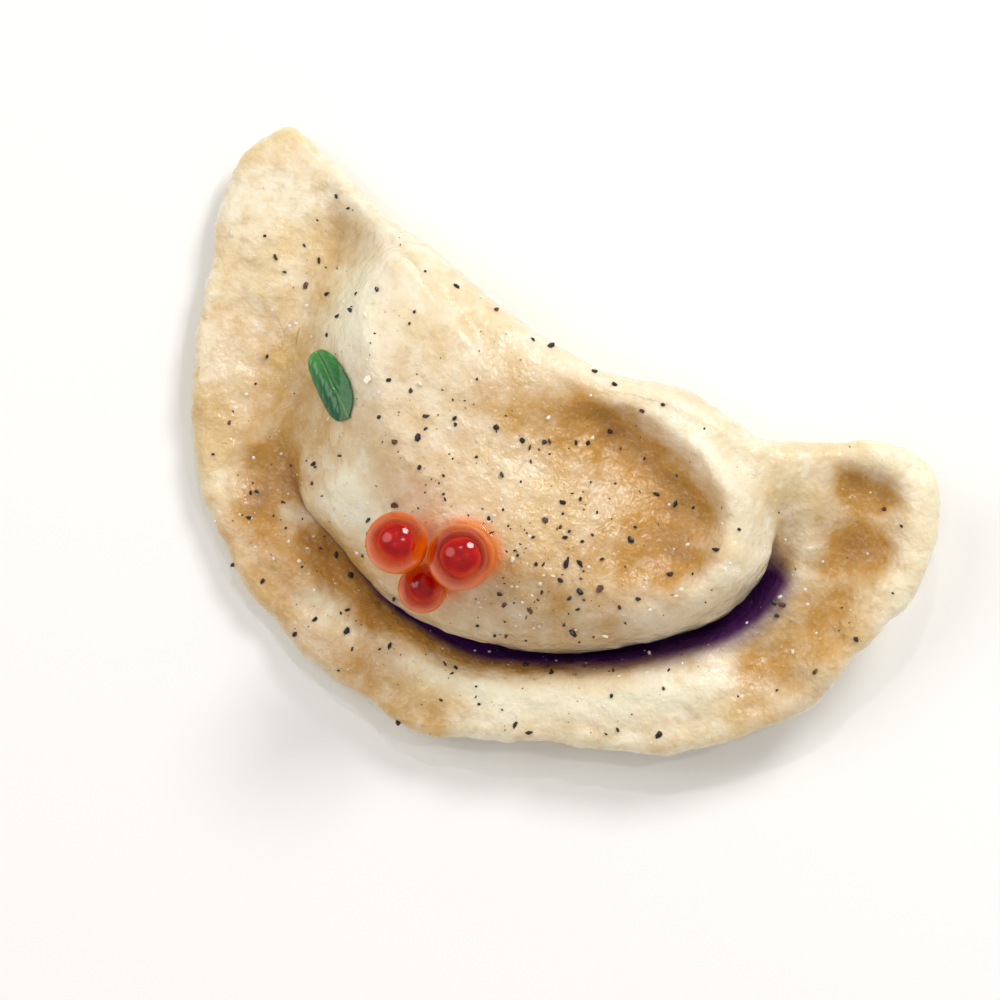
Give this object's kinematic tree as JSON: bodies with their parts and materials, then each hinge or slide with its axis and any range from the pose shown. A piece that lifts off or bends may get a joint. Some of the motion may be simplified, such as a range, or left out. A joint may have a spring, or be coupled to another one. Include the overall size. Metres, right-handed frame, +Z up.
{
  "type": "pierogi dumpling",
  "caption": "Boiled half-moon filled dumpling with a plump belly, a wide pressed rim and a lifted corner, topped with salmon roe beads and a thyme leaf.",
  "frame": {"origin": "on the surface that the dumpling lies on, at the centre of its bounding box seen from above", "axes": "+X along the fold, from the flat corner towards the lifted corner; +Y from the pressed rim towards the fold; +Z up, out of the flat base"},
  "size_m": [0.0812, 0.0484, 0.0232],
  "materials": {
    "boiled_dough": "boiled wheat dough, moist with butter",
    "salmon_roe": "wet, glossy and translucent",
    "thyme": "fresh leaf, slightly glossy"
  },
  "bodies": {
    "root": {"dough": "boiled_dough", "roe_1": "salmon_roe", "roe_2": "salmon_roe", "roe_3": "salmon_roe", "thyme_leaf": "thyme"}
  },
  "joints": []
}
